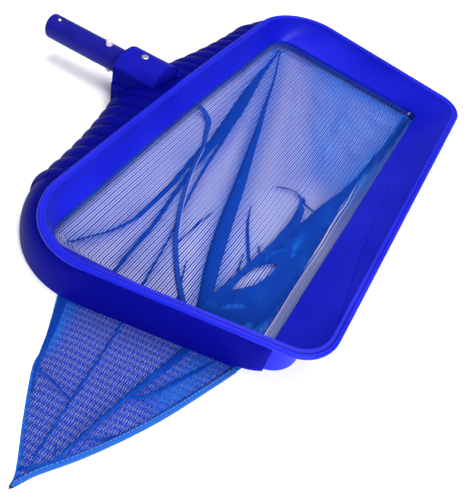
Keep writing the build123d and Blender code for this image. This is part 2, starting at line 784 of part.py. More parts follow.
def clip_button(side):
    """A round-nosed pin with a flange on the strip, a shoulder in the tube's hole and a riveted tail."""
    flange_z = side * (LEAF_Z + LEAF_THICK)
    with BuildPart() as button:
        with BuildSketch(Plane.XY.offset(flange_z)):
            with Locations((0.0, BUTTON_Y)):
                Circle(BUTTON_FLANGE_RADIUS)
        extrude(amount=side * BUTTON_FLANGE_THICK)
        with BuildSketch(Plane.XY.offset(flange_z)):
            with Locations((0.0, BUTTON_Y)):
                Circle(BUTTON_SHOULDER_RADIUS)
        extrude(amount=side * BUTTON_SHOULDER_Z - flange_z)
        with BuildSketch(Plane.XY.offset(flange_z)):
            with Locations((0.0, BUTTON_Y)):
                Circle(BUTTON_RADIUS)
        extrude(amount=side * BUTTON_TIP_Z - flange_z)
        nose = button.edges().filter_by(GeomType.CIRCLE).group_by(Axis.Z)[-1 if side > 0 else 0]
        fillet(nose, radius=BUTTON_NOSE)
        with BuildSketch(Plane.XY.offset(side * (LEAF_Z - BUTTON_TAIL_HEAD_THICK))):
            with Locations((0.0, BUTTON_Y)):
                Circle(BUTTON_TAIL_HEAD_RADIUS)
        extrude(amount=side * BUTTON_TAIL_HEAD_THICK)
        with BuildSketch(Plane.XY.offset(side * LEAF_Z)):
            with Locations((0.0, BUTTON_Y)):
                Circle(BUTTON_TAIL_RADIUS)
        extrude(amount=side * LEAF_THICK)
    return button


# ---------------------------------------------------------------------------------------------------
# Bag
# ---------------------------------------------------------------------------------------------------


def tail_face():
    """The three-cornered tail of the bag, laid flat under the near side of the frame."""
    inner_front = in_row((TAIL_INNER_X, TAIL_FRONT[1]))
    inner_back = in_row((TAIL_INNER_X, TAIL_BACK[1]))
    with BuildSketch(at_depth(FLOOR_DEPTH)) as tail:
        with BuildLine():
            Polyline(inner_front, inner_back, in_row(TAIL_BACK), in_row(TAIL_TIP))
            ThreePointArc(in_row(TAIL_TIP), in_row(TAIL_BULGE), in_row(TAIL_FRONT))
            Line(in_row(TAIL_FRONT), inner_front)
        make_face()
    return tail.sketch


def mesh_bag():
    wall_outer = throat_outline(-CLAMP_GAP)
    wall_inner = throat_outline(-CLAMP_GAP - MESH_THICK)
    wall_top = THROAT_DEPTH + LAND_DEPTH + CLAMP_GAP
    with BuildPart() as bag:
        add(outline_ring(wall_top, FLOOR_DEPTH, wall_outer, wall_inner))
        add(outline_block(FLOOR_DEPTH - MESH_THICK, FLOOR_DEPTH, wall_outer))
        extrude(tail_face(), amount=MESH_THICK)
    return bag


def bag_side_seam():
    """A bound seam on the floor of the bag, from the middle of the back towards the near side."""
    with BuildPart() as seam:
        with BuildSketch(at_depth(FLOOR_DEPTH - MESH_THICK)):
            with BuildLine():
                FilletPolyline(*[in_row(point) for point in SEAM_ROUTE], radius=SEAM_BENDS)
            trace(line_width=SEAM_WIDTH)
        extrude(amount=SEAM_THICK)
    return seam


def bag_tail_hem():
    """The doubled edge along the front of the tail."""
    with BuildPart() as hem:
        with BuildSketch(at_depth(FLOOR_DEPTH - MESH_THICK)):
            with BuildLine():
                ThreePointArc(*[in_row(point) for point in TAIL_HEM_ROUTE])
            trace(line_width=SEAM_WIDTH)
        extrude(amount=SEAM_THICK)
    return hem


os.makedirs("parts", exist_ok=True)
ring = scoop_ring()
finish(ring.part, "scoop_ring")

yoke = handle_yoke()
finish(yoke.part, "handle_yoke")

clamp_bar = front_clamp_bar()
finish(clamp_bar.part, "front_clamp_bar")
finish(hem_tape(), "hem_tape")
finish(hem_spline(), "hem_spline")
for screw_name, screw_places in (
    ("back_screws", back_boss_places()),
    ("near_screws", side_boss_places(-1)),
    ("far_screws", side_boss_places(1)),
    ("front_screws", front_boss_places()),
):
    screw_group = screws(screw_places)
    finish(screw_group.part, screw_name)
tube = handle_tube()
finish(tube.part, "handle_tube")
bend = clip_bend()
finish(bend.part, "clip_bend")
for end_name, end_side, seat in (("top", 1, SOCKET_TOP_Z), ("bottom", -1, POCKET_TOP_Z)):
    rivet = rivet_body(seat, end_side)
    finish(rivet.part, f"rivet_body_{end_name}")
    mandrel = rivet_mandrel(seat, end_side)
    finish(mandrel.part, f"rivet_mandrel_{end_name}")
    leaf = clip_leaf(end_side)
    finish(leaf.part, f"clip_leaf_{end_name}")
    button = clip_button(end_side)
    finish(button.part, f"clip_button_{end_name}")
bag = mesh_bag()
finish(bag.part, "mesh_bag")
seam = bag_side_seam()
finish(seam.part, "bag_side_seam")
tail_hem = bag_tail_hem()
finish(tail_hem.part, "bag_tail_hem")
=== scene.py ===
import math

import bpy
import numpy as np
from mathutils import Matrix, Vector
from mathutils.geometry import delaunay_2d_cdt


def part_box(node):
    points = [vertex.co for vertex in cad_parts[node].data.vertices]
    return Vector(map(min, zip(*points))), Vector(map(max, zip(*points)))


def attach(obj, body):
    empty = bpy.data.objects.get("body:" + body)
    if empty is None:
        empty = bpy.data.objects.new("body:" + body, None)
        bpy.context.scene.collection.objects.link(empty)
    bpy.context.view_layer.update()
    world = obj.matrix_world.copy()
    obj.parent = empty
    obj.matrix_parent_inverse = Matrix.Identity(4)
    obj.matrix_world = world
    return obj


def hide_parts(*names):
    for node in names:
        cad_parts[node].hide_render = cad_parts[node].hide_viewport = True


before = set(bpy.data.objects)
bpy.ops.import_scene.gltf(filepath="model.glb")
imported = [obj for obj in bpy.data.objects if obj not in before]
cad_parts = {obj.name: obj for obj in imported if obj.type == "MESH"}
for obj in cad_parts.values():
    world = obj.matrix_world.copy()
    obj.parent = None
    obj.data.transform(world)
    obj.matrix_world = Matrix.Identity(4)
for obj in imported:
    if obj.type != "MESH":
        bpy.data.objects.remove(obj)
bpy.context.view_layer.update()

# A leaf skimmer net that lies on a pale floor with its bag pulled out to one side. Metres, in the
# frame of the CAD. Plan points of the cloth are (x, forward) pairs in millimetres, where forward runs
# from the back edge of the rim towards the skimming lip. A lift is millimetres above the floor.

MM = 0.001
RIM_BACK_Y = -0.138
FLOOR_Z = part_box("mesh_bag")[0].z


# ---- camera, floor and light ----------------------------------------------------------------------


CAMERA_PLACE = (-0.4578, -0.3803, 0.3662)
CAMERA_RIGHT = Vector((0.489, -0.849, 0.200))
CAMERA_UP = Vector((0.602, 0.494, 0.627))
CAMERA_FORWARD = Vector((0.631, 0.186, -0.753))
LENS_MM = 41.07
SENSOR_MM = 36.0
FLOOR_HALF_WIDTH = 4.0
FLOOR_GAP = 0.3 * MM
LIGHT_TARGET = Vector((-0.03, -0.24, 0.0))
WORLD_COLOUR = (0.95, 0.96, 1.0, 1.0)
WORLD_STRENGTH = 0.38


def add_camera():
    data = bpy.data.cameras.new("photo_camera")
    data.lens = LENS_MM
    data.sensor_width = SENSOR_MM
    data.clip_end = 20.0
    camera = bpy.data.objects.new("photo_camera", data)
    turn = Matrix((CAMERA_RIGHT, CAMERA_UP, -CAMERA_FORWARD)).transposed()
    camera.matrix_world = Matrix.Translation(CAMERA_PLACE) @ turn.to_4x4()
    bpy.context.collection.objects.link(camera)
    bpy.context.scene.camera = camera


def add_floor(material):
    signs = ((-1, -1), (1, -1), (1, 1), (-1, 1))
    corners = [(x * FLOOR_HALF_WIDTH, y * FLOOR_HALF_WIDTH, FLOOR_Z - FLOOR_GAP) for x, y in signs]
    mesh = bpy.data.meshes.new("floor")
    mesh.from_pydata(corners, [], [(0, 1, 2, 3)])
    floor = bpy.data.objects.new("floor", mesh)
    bpy.context.collection.objects.link(floor)
    mesh.materials.append(material)


def add_area_light(name, place, size, power):
    data = bpy.data.lights.new(name, "AREA")
    data.shape = "DISK"
    data.size = size
    data.energy = power
    light = bpy.data.objects.new(name, data)
    light.location = place
    light.rotation_euler = (LIGHT_TARGET - Vector(place)).to_track_quat("-Z", "Y").to_euler()
    bpy.context.collection.objects.link(light)


def add_lights():
    add_area_light("key_light", (0.45, -0.30, 1.9), size=1.3, power=37.0)
    add_area_light("fill_light", (-1.2, -1.5, 1.0), size=1.2, power=54.0)
    world = bpy.data.worlds.new("studio")
    world.use_nodes = True
    background = world.node_tree.nodes["Background"]
    background.inputs["Color"].default_value = WORLD_COLOUR
    background.inputs["Strength"].default_value = WORLD_STRENGTH
    bpy.context.scene.world = world
    bpy.context.scene.view_settings.view_transform = "Standard"


# ---- material building blocks ----------------------------------------------------------------------


class Recipe:
    """A material under construction: its node tree, its Principled shader and short calls for nodes."""

    def __init__(self, name, colour, roughness, metallic=0.0):
        self.material = bpy.data.materials.new(name)
        self.material.use_nodes = True
        self.tree = self.material.node_tree
        self.shader = self.tree.nodes["Principled BSDF"]
        self.set("Base Color", (*colour, 1.0))
        self.set("Roughness", roughness)
        self.set("Metallic", metallic)

    def set(self, socket, value):
        self.shader.inputs[socket].default_value = value

    def drive(self, socket, output):
        self.tree.links.new(output, self.shader.inputs[socket])

    def node(self, kind, values=None, **settings):
        node = self.tree.nodes.new(kind)
        for key, value in settings.items():
            setattr(node, key, value)
        for key, value in (values or {}).items():
            if hasattr(value, "links"):
                self.tree.links.new(value, node.inputs[key])
            else:
                node.inputs[key].default_value = value
        return node

    def math(self, operation, first, second=0.0, third=0.0):
        values = {0: first, 1: second, 2: third}
        return self.node("ShaderNodeMath", values, operation=operation).outputs[0]

    def stretch(self, value, low, high, to_low=0.0, to_high=1.0):
        """Maps the range from low to high onto another range, and holds what lies past its ends."""
        values = {"Value": value, "From Min": low, "From Max": high, "To Min": to_low, "To Max": to_high}
        return self.node("ShaderNodeMapRange", values).outputs["Result"]

    def mix(self, share, first, second):
        """A blend of two colours, each a colour or a socket. share is a socket."""
        node = self.node("ShaderNodeMix", data_type="RGBA")
        self.tree.links.new(share, node.inputs[0])
        for socket, value in ((node.inputs[6], first), (node.inputs[7], second)):
            if hasattr(value, "links"):
                self.tree.links.new(value, socket)
            else:
                socket.default_value = (*value, 1.0)
        return node.outputs[2]

    def place(self, scale=(1.0, 1.0, 1.0)):
        coordinates = self.node("ShaderNodeTexCoord").outputs["Object"]
        return self.node("ShaderNodeMapping", {"Vector": coordinates, "Scale": scale}).outputs[0]

    def noise(self, place, scale, detail=2.0, roughness=0.5):
        values = {"Vector": place, "Scale": scale, "Detail": detail, "Roughness": roughness}
        return self.node("ShaderNodeTexNoise", values).outputs["Fac"]

    def bump(self, height, strength, distance, below=None):
        values = {"Height": height, "Strength": strength, "Distance": distance}
        if below is not None:
            values["Normal"] = below
        return self.node("ShaderNodeBump", values).outputs["Normal"]


def moulded_plastic(name, colour, cloudy, worn, roughness, gloss, index):
    """Satin moulded plastic: a faint cloud in the colour, fine grain, dull scuffs and paler edges. gloss
    is the specular level and index is the index of refraction."""
    recipe = Recipe(name, colour, roughness)
    place = recipe.place()
    cloud = recipe.stretch(recipe.noise(place, 16.0, 3.0), 0.35, 0.7)
    streaks = recipe.noise(recipe.place((30.0, 190.0, 30.0)), 1.0, 4.0, 0.6)
    scuffs = recipe.stretch(streaks, 0.62, 0.74)
    edges = recipe.node("ShaderNodeNewGeometry").outputs["Pointiness"]
    wear = recipe.stretch(edges, 0.53, 0.62, 0.0, 0.45)
    body = recipe.mix(cloud, colour, cloudy)
    recipe.drive("Base Color", recipe.mix(wear, body, worn))
    grain = recipe.noise(place, 900.0, 2.0)
    dull = recipe.math("MULTIPLY_ADD", scuffs, 0.12, roughness - 0.06)
    recipe.drive("Roughness", recipe.math("MULTIPLY_ADD", grain, 0.10, dull))
    flow = recipe.bump(recipe.noise(place, 60.0, 2.0), 0.10, 0.6 * MM)
    recipe.drive("Normal", recipe.bump(grain, 0.12, 0.12 * MM, flow))
    recipe.set("Specular IOR Level", gloss)
    recipe.set("IOR", index)
    return recipe.material


def coated_tube(name):
    """Dark blue coating on a drawn tube, with fine lengthwise draw lines and handling scuffs."""
    colour = (0.006, 0.006, 0.17)
    recipe = Recipe(name, colour, 0.3)
    lines = recipe.noise(recipe.place((700.0, 9.0, 700.0)), 1.0, 3.0)
    rings = recipe.noise(recipe.place((25.0, 420.0, 25.0)), 1.0, 4.0, 0.7)
    scuffs = recipe.stretch(rings, 0.66, 0.76, 0.0, 0.55)
    cloud = recipe.noise(recipe.place(), 22.0, 3.0)
    body = recipe.mix(recipe.stretch(cloud, 0.3, 0.75), colour, (0.010, 0.010, 0.22))
    recipe.drive("Base Color", recipe.mix(scuffs, body, (0.03, 0.03, 0.30)))
    recipe.drive("Roughness", recipe.stretch(rings, 0.3, 0.8, 0.24, 0.46))
    recipe.drive("Normal", recipe.bump(lines, 0.12, 0.08 * MM))
    recipe.set("Specular IOR Level", 0.12)
    recipe.set("IOR", 1.3)
    recipe.set("Coat Weight", 0.02)
    recipe.set("Coat Roughness", 0.2)
    return recipe.material


def bare_metal(name, colour, roughness, grain_scale):
    """Bright metal with a brushed grain and a few duller patches."""
    recipe = Recipe(name, colour, roughness, 1.0)
    grain = recipe.noise(recipe.place((grain_scale, grain_scale * 0.1, grain_scale)), 1.0, 3.0)
    patches = recipe.noise(recipe.place(), 240.0, 3.0)
    shade = tuple(channel * 0.72 for channel in colour)
    recipe.drive("Base Color", recipe.mix(recipe.stretch(patches, 0.45, 0.75), colour, shade))
    recipe.drive("Roughness", recipe.stretch(patches, 0.3, 0.7, roughness - 0.08, roughness + 0.16))
    recipe.drive("Normal", recipe.bump(grain, 0.15, 0.04 * MM))
    return recipe.material


def button_nylon(name):
    """Off-white nylon with a waxy depth and a little rubbed-in dirt."""
    colour = (0.62, 0.50, 0.60)
    recipe = Recipe(name, colour, 0.35)
    dirt = recipe.stretch(recipe.noise(recipe.place(), 700.0, 4.0), 0.5, 0.72, 0.0, 0.5)
    recipe.drive("Base Color", recipe.mix(dirt, colour, (0.36, 0.29, 0.44)))
    recipe.drive("Roughness", recipe.stretch(dirt, 0.0, 0.5, 0.32, 0.55))
    recipe.drive("Normal", recipe.bump(recipe.noise(recipe.place(), 2500.0, 2.0), 0.1, 0.05 * MM))
    recipe.set("Subsurface Weight", 0.2)
    recipe.set("Subsurface Radius", (1.0 * MM, 0.8 * MM, 0.8 * MM))
    return recipe.material


def spline_vinyl(name):
    """The soft white cord that holds the hem in its groove."""
    recipe = Recipe(name, (0.55, 0.56, 0.58), 0.5)
    mottle = recipe.noise(recipe.place(), 400.0, 3.0)
    recipe.drive("Base Color", recipe.mix(mottle, (0.58, 0.59, 0.61), (0.46, 0.47, 0.50)))
    recipe.drive("Normal", recipe.bump(mottle, 0.2, 0.1 * MM))
    return recipe.material


def paper_floor(name):
    """Pale matt backdrop paper with a very faint tooth."""
    recipe = Recipe(name, (0.92, 0.92, 0.93), 0.9)
    tooth = recipe.noise(recipe.place(), 420.0, 3.0)
    recipe.drive("Base Color", recipe.mix(tooth, (0.94, 0.94, 0.95), (0.90, 0.90, 0.91)))
    recipe.set("Specular IOR Level", 0.1)
    return recipe.material


# The net's threads. Pitches are distances on the flat cloth. Half widths are shares of a pitch, where
# the cloth is loose and where it is fully gathered.
THREAD_MAP = "threads"
GATHER = "gather"
WARP_PITCH = 2.1 * MM
WEFT_PITCH = 2.3 * MM
WARP_HALF_WIDTHS = (0.06, 0.30)
WEFT_HALF_WIDTHS = (0.20, 0.47)
WEFT_UNEVEN = 0.22
THREAD_WAVER = 0.9 * MM
HOLE_HAZE = 0.20
NET_LOOSE_BLUE = (0.010, 0.036, 0.35)
NET_CLOSE_BLUE = (0.005, 0.085, 0.42)
# Painted shade: the deep blue of cloth lying in several layers, which block the light from behind.
NET_SHADED_BLUE = (0.0004, 0.029, 0.25)


def thread_family(recipe, along, pitch, half_width, uneven=0.0):
    """How high a row of parallel threads stands at a place across them, 0 in the gaps, 1 on a crown.
    uneven makes every second thread thicker and the ones between thinner."""
    turns = recipe.math("MULTIPLY", along, 1.0 / pitch)
    if uneven:
        pairs = recipe.math("FRACT", recipe.math("MULTIPLY", turns, 0.5))
        is_second = recipe.math("GREATER_THAN", pairs, 0.5)
        thickness = recipe.stretch(is_second, 0.0, 1.0, 1.0 - uneven, 1.0 + uneven)
        half_width = recipe.math("MULTIPLY", half_width, thickness)
    offset = recipe.math("ABSOLUTE", recipe.math("SUBTRACT", recipe.math("FRACT", turns), 0.5))
    gap = recipe.math("SUBTRACT", half_width, offset)
    return recipe.stretch(recipe.math("DIVIDE", gap, half_width), 0.0, 1.0)


def net_material(name):
    """Fine woven net. The threads are opaque and the holes carry a light haze, for the filaments that are
    too fine to draw. Where the cloth is gathered the threads crowd together and the colour deepens; the
    deepest blue is painted shade, for the layers below that block the light from behind."""
    recipe = Recipe(name, NET_LOOSE_BLUE, 0.7)
    threads = recipe.node("ShaderNodeUVMap", uv_map=THREAD_MAP).outputs["UV"]
    place = recipe.place()
    waver = recipe.node("ShaderNodeTexNoise", {"Vector": place, "Scale": 45.0, "Detail": 2.0})
    shift = recipe.node("ShaderNodeVectorMath", {0: waver.outputs["Color"], 1: (THREAD_WAVER,) * 3},
                        operation="MULTIPLY").outputs[0]
    bent = recipe.node("ShaderNodeVectorMath", {0: threads, 1: shift}).outputs[0]
    split = recipe.node("ShaderNodeSeparateXYZ", {0: bent})
    gather = recipe.node("ShaderNodeAttribute", attribute_name=GATHER).outputs["Fac"]
    warp_half = recipe.stretch(gather, 0.0, 1.0, *WARP_HALF_WIDTHS)
    weft_half = recipe.stretch(gather, 0.0, 1.0, *WEFT_HALF_WIDTHS)
    warp = thread_family(recipe, split.outputs["X"], WARP_PITCH, warp_half)
    weft = thread_family(recipe, split.outputs["Y"], WEFT_PITCH, weft_half, WEFT_UNEVEN)
    crown = recipe.math("MAXIMUM", warp, weft)
    recipe.drive("Alpha", recipe.stretch(crown, 0.02, 0.10, HOLE_HAZE, 1.0))
    patches = recipe.stretch(recipe.noise(place, 30.0, 3.0), 0.3, 0.7, -0.12, 0.12)
    crowding_and_shade = recipe.math("ADD", gather, patches)
    closing = recipe.mix(recipe.stretch(crowding_and_shade, 0.1, 0.6), NET_LOOSE_BLUE, NET_CLOSE_BLUE)
    # Painted shade: the most gathered cloth turns deep blue.
    recipe.drive("Base Color", recipe.mix(recipe.stretch(crowding_and_shade, 0.62, 0.92), closing, NET_SHADED_BLUE))
    fibre = recipe.noise(place, 2600.0, 2.0)
    recipe.drive("Roughness", recipe.stretch(fibre, 0.3, 0.7, 0.62, 0.82))
    recipe.drive("Normal", recipe.bump(crown, 0.5, 0.25 * MM))
    recipe.set("Sheen Weight", 0.02)
    recipe.set("Sheen Roughness", 0.4)
    recipe.set("Specular IOR Level", 0.06)
    return recipe.material


def tape_material(name, dark, light):
    """Binding tape: tight twill in the bag's blue."""
    recipe = Recipe(name, dark, 0.7)
    threads = recipe.node("ShaderNodeUVMap", uv_map=THREAD_MAP).outputs["UV"]
    twill = recipe.node("ShaderNodeTexWave", {"Vector": threads, "Scale": 420.0, "Distortion": 0.6},
                        bands_direction="DIAGONAL")
    ribs = twill.outputs["Fac"]
    recipe.drive("Base Color", recipe.mix(ribs, dark, light))
    fuzz = recipe.noise(recipe.place(), 500.0, 3.0)
    recipe.drive("Roughness", recipe.stretch(fuzz, 0.3, 0.7, 0.5, 0.75))
    recipe.drive("Normal", recipe.bump(ribs, 0.5, 0.15 * MM))
    recipe.set("Sheen Weight", 0.03)
    recipe.set("Specular IOR Level", 0.08)
    return recipe.material


def thread_material(name, dark, light):
    """Twisted sewing thread."""
    recipe = Recipe(name, light, 0.55)
    twist = recipe.node("ShaderNodeTexWave", {"Vector": recipe.place(), "Scale": 900.0},
                        bands_direction="DIAGONAL").outputs["Fac"]
    recipe.drive("Base Color", recipe.mix(twist, dark, light))
    recipe.drive("Normal", recipe.bump(twist, 0.4, 0.1 * MM))
    recipe.set("Sheen Weight", 0.1)
    return recipe.material


# ---- plan outlines ---------------------------------------------------------------------------------


def rounded(corners, radii, step):
    """A closed polyline with an arc at each corner, as an array of plan points about a step apart."""
    line = []
    count = len(corners)
    for index in range(count):
        corner = np.array(corners[index], float)
        before = np.array(corners[index - 1], float) - corner
        after = np.array(corners[(index + 1) % count], float) - corner
        before /= np.linalg.norm(before)
        after /= np.linalg.norm(after)
        half = 0.5 * math.acos(float(np.clip(before @ after, -1.0, 1.0)))
        reach = radii[index] / math.tan(half)
        centre = corner + (before + after) / np.linalg.norm(before + after) * radii[index] / math.sin(half)
        start = corner + before * reach - centre
        sweep = math.pi - 2.0 * half
        side = 1.0 if before[0] * after[1] - before[1] * after[0] < 0.0 else -1.0
        pieces = max(int(radii[index] * sweep / step), 3)
        for piece in range(pieces + 1):
            angle = side * sweep * piece / pieces
            turn = np.array([[math.cos(angle), -math.sin(angle)], [math.sin(angle), math.cos(angle)]])
            line.append(centre + turn @ start)
    return spaced(np.array(line + line[:1]), step)[:-1]


def lengths_along(line):
    """How far along an open polyline each of its points lies."""
    return np.r_[0.0, np.cumsum(np.linalg.norm(np.diff(line, axis=0), axis=1))]


def spaced(line, step):
    """The same open polyline with points about a step apart."""
    lengths = lengths_along(line)
    at = np.linspace(0.0, lengths[-1], max(int(round(lengths[-1] / step)), 1) + 1)
    return np.column_stack([np.interp(at, lengths, line[:, axis]) for axis in range(line.shape[1])])


def smooth(points, step):
    """A smooth open line through a few points (Catmull-Rom), with points about a step apart."""
    points = np.array(points, float)
    if len(points) < 3:
        return spaced(points, step)
    ends = [2.0 * points[0] - points[1], 2.0 * points[-1] - points[-2]]
    padded = np.vstack([ends[:1], points, ends[1:]])
    line = []
    for index in range(len(points) - 1):
        a, b, c, d = padded[index:index + 4]
        for share in np.linspace(0.0, 1.0, 12, endpoint=False):
            line.append(0.5 * (2.0 * b + (c - a) * share + (2.0 * a - 5.0 * b + 4.0 * c - d) * share**2
                               + (3.0 * b - a - 3.0 * c + d) * share**3))
    return spaced(np.array(line + [points[-1]]), step)


def ramp(value, start, end):
    """0 before the start, 1 past the end and straight between them."""
    return np.clip((value - start) / (end - start), 0.0, 1.0)


def inside(points, outline):
    """Which of some plan points lie inside a closed outline."""
    found = np.zeros(len(points), bool)
    x, y = points[:, 0], points[:, 1]
    for (x0, y0), (x1, y1) in zip(outline, np.roll(outline, -1, axis=0)):
        if y0 == y1:
            continue
        crosses = (y0 > y) != (y1 > y)
        found ^= crosses & (x < (x1 - x0) * (y - y0) / (y1 - y0) + x0)
    return found


def distance(points, line):
    """How far some plan points lie from an open polyline."""
    nearest = np.full(len(points), 1e9)
    for start, end in zip(line[:-1], line[1:]):
        run = end - start
        share = np.clip(((points - start) @ run) / max(float(run @ run), 1e-9), 0.0, 1.0)
        nearest = np.minimum(nearest, np.linalg.norm(points - start - share[:, None] * run, axis=1))
    return nearest


def closeness(points, line, reach):
    """1 on a line, and falling smoothly to about a third one reach away from it."""
    return np.exp(-(distance(points, line) / reach) ** 2)


# The throat is the opening at the foot of the ring's inner face. Near is the side that the tail comes
# out of, and the back edge bows a little.
BACK_MIDDLE, NEAR_BACK, NEAR_FRONT = (0.0, 6.0), (-229.0, 11.0), (-207.0, 222.0)
FAR_FRONT, FAR_BACK = (207.0, 222.0), (229.0, 11.0)
THROAT_RADII = [5000.0, 22.0, 9.0, 9.0, 22.0]
THROAT = rounded([BACK_MIDDLE, NEAR_BACK, NEAR_FRONT, FAR_FRONT, FAR_BACK], THROAT_RADII, 3.0)
THROAT_MIDDLE = 115.0
BACK_WALL_FOOT = 27.0
FRONT_WALL_FOOT = 203.0

CLOTH_STEP = 4.0
EDGE_LIFT = 0.5

# The tail begins under the near side of the ring. TAIL_DRAW is how much closer its threads are, and
# END_STRETCH is how much further apart they are on the front and back walls.
TAIL_START = -212.0
TAIL_MIDDLE = np.array([TAIL_START, THROAT_MIDDLE])
TAIL_DRAW = 0.20
END_STRETCH = 0.22


def grown(loop, distance_out):
    """A closed loop moved outwards, or inwards if the distance is negative."""
    ahead = np.roll(loop, -1, axis=0) - np.roll(loop, 1, axis=0)
    ahead /= np.linalg.norm(ahead, axis=1)[:, None]
    outward = np.column_stack([ahead[:, 1], -ahead[:, 0]])
    middle = loop.mean(axis=0)
    if ((loop - middle) * outward).sum() < 0.0:
        outward = -outward
    return loop + outward * distance_out


# ---- cloth -----------------------------------------------------------------------------------------


class Cloth:
    """Collects welded vertices, faces, thread coordinates and gather values for one piece of cloth."""

    def __init__(self):
        self.points = []
        self.index = {}
        self.gather = []
        self.faces = []
        self.corners = []

    def add(self, plan, lift, threads, gather, faces):
        """plan, lift and threads are arrays in millimetres, one row for each vertex of these faces."""
        numbers = []
        for (x, forward), height, amount in zip(plan, lift, gather):
            key = (round(float(x), 2), round(float(forward), 2), round(float(height), 2))
            if key not in self.index:
                self.index[key] = len(self.points)
                self.points.append((x * MM, RIM_BACK_Y - forward * MM, FLOOR_Z + height * MM))
                self.gather.append(float(amount))
            numbers.append(self.index[key])
        for face in faces:
            welded = [numbers[corner] for corner in face]
            if len(set(welded)) == len(welded):
                self.faces.append(welded)
                self.corners.extend(tuple(threads[corner] * MM) for corner in face)

    def make(self, name, material):
        mesh = bpy.data.meshes.new(name)
        mesh.from_pydata(self.points, [], self.faces)
        layer = mesh.uv_layers.new(name=THREAD_MAP)
        layer.data.foreach_set("uv", np.array(self.corners, np.float32).ravel())
        mesh.attributes.new(GATHER, "FLOAT", "POINT").data.foreach_set("value", self.gather)
        mesh.shade_smooth()
        mesh.materials.append(material)
        piece = bpy.data.objects.new(name, mesh)
        bpy.context.collection.objects.link(piece)
        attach(piece, "frame")
        return piece


def patch(cloth, outline, lift, gather, turn=0.0, holes=(), step=CLOTH_STEP):
    """Fills a plan outline with cloth. lift and gather are functions of plan points, turn is the angle of
    the threads, and holes are openings between folds."""
    outline = np.array(outline, float)
    low, high = outline.min(axis=0), outline.max(axis=0)
    across = np.arange(low[0], high[0], step)
    grid = [(x + step * 0.5 * (row % 2), forward)
            for row, forward in enumerate(np.arange(low[1], high[1], step * 0.87)) for x in across]
    grid = np.array(grid)
    closed = np.vstack([outline, outline[:1]])
    keep = inside(grid, outline) & (distance(grid, closed) > 0.55 * step)
    holes = [np.array(hole, float) for hole in holes]
    edges = []
    count = 0
    for loop in [outline] + holes:
        edges += [(count + index, count + (index + 1) % len(loop)) for index in range(len(loop))]
        count += len(loop)
    for hole in holes:
        keep &= distance(grid, hole) > 0.5 * step
    points = np.vstack([outline] + holes + [grid[keep]])
    found = delaunay_2d_cdt([Vector(point) for point in points], edges, [list(range(len(outline)))], 1, 1e-4)
    plan = np.array([tuple(vertex) for vertex in found[0]])
    faces = [list(face) for face in found[2]]
    centres = np.array([plan[face].mean(axis=0) for face in faces])
    open_faces = np.zeros(len(faces), bool)
    for hole in holes:
        open_faces |= inside(centres, hole)
    faces = [face for face, is_open in zip(faces, open_faces) if not is_open]
    heights = lift(plan)
    cloth.add(plan, heights, thread_places(plan, heights, turn), gather(plan), faces)


def thread_places(plan, heights, turn):
    """Where each point lies on the flat cloth: the plan point, plus the height on the side walls. In the
    tail, where two layers lie together and are pulled tight, the threads are closer."""
    x, forward = plan[:, 0], plan[:, 1]
    drawn = TAIL_DRAW * ramp(x, TAIL_START, TAIL_START - 6.0)[:, None]
    side = ramp(np.abs(x), 190.0, 210.0) * np.sign(x)
    end = ramp(np.abs(forward - THROAT_MIDDLE), 0.0, 80.0) * np.sign(forward - THROAT_MIDDLE)
    flat = plan + drawn * (plan - TAIL_MIDDLE) + np.column_stack([heights * side, heights * end])
    past_ends = np.maximum(forward - FRONT_WALL_FOOT, 0.0) + np.minimum(forward - BACK_WALL_FOOT, 0.0)
    flat[:, 1] -= END_STRETCH * (past_ends + heights * end * (past_ends != 0.0))
    turned = np.array([[math.cos(turn), math.sin(turn)], [-math.sin(turn), math.cos(turn)]])
    return flat @ turned


def strip(cloth, rows, lifts, gather):
    """Cloth between closed loops of plan points, each loop with one lift."""
    width = len(rows[0])
    lengths = lengths_along(rows[0])
    plan = np.vstack(rows)
    heights = np.repeat(lifts, width)
    down = 0.0
    threads = []
    for number, row in enumerate(rows):
        if number:
            step = np.linalg.norm(row - rows[number - 1], axis=1).mean()
            down += math.hypot(step, lifts[number] - lifts[number - 1])
        threads.append(np.column_stack([lengths, np.full(width, down)]))
    faces = []
    for number in range(len(rows) - 1):
        for column in range(width):
            after = (column + 1) % width
            faces.append([number * width + column, number * width + after,
                          (number + 1) * width + after, (number + 1) * width + column])
    cloth.add(plan, heights, np.vstack(threads), np.full(len(plan), gather), faces)


def track(points, widths, step):
    """A smooth line with a width: its middle, its widths, the way across it and the lengths along it."""
    line = smooth([(x, forward, width) for (x, forward), width in zip(points, widths)], step)
    middle, width = line[:, :2], line[:, 2]
    ahead = np.gradient(middle, axis=0)
    ahead /= np.linalg.norm(ahead, axis=1)[:, None]
    across = np.column_stack([ahead[:, 1], -ahead[:, 0]])
    return middle, width, across, lengths_along(middle)


def profile_faces(sides, count):
    """Faces between neighbouring rows of a closed profile, where each row has count points."""
    faces = []
    for number in range(sides):
        row, after = number * count, (number + 1) % sides * count
        faces += [[row + column, row + column + 1, after + column + 1, after + column]
                  for column in range(count - 1)]
    return faces


# Points round a flattened fold: the share of its width and the height.
PLEAT_PROFILE = ((-0.5, 0.30), (-0.25, 0.08), (0.25, 0.08), (0.5, 0.30), (0.47, 0.55), (0.2, 0.72),
                 (-0.2, 0.72), (-0.47, 0.55))
PLEAT_NARROWING = 0.14
PLEAT_RISE = 0.62


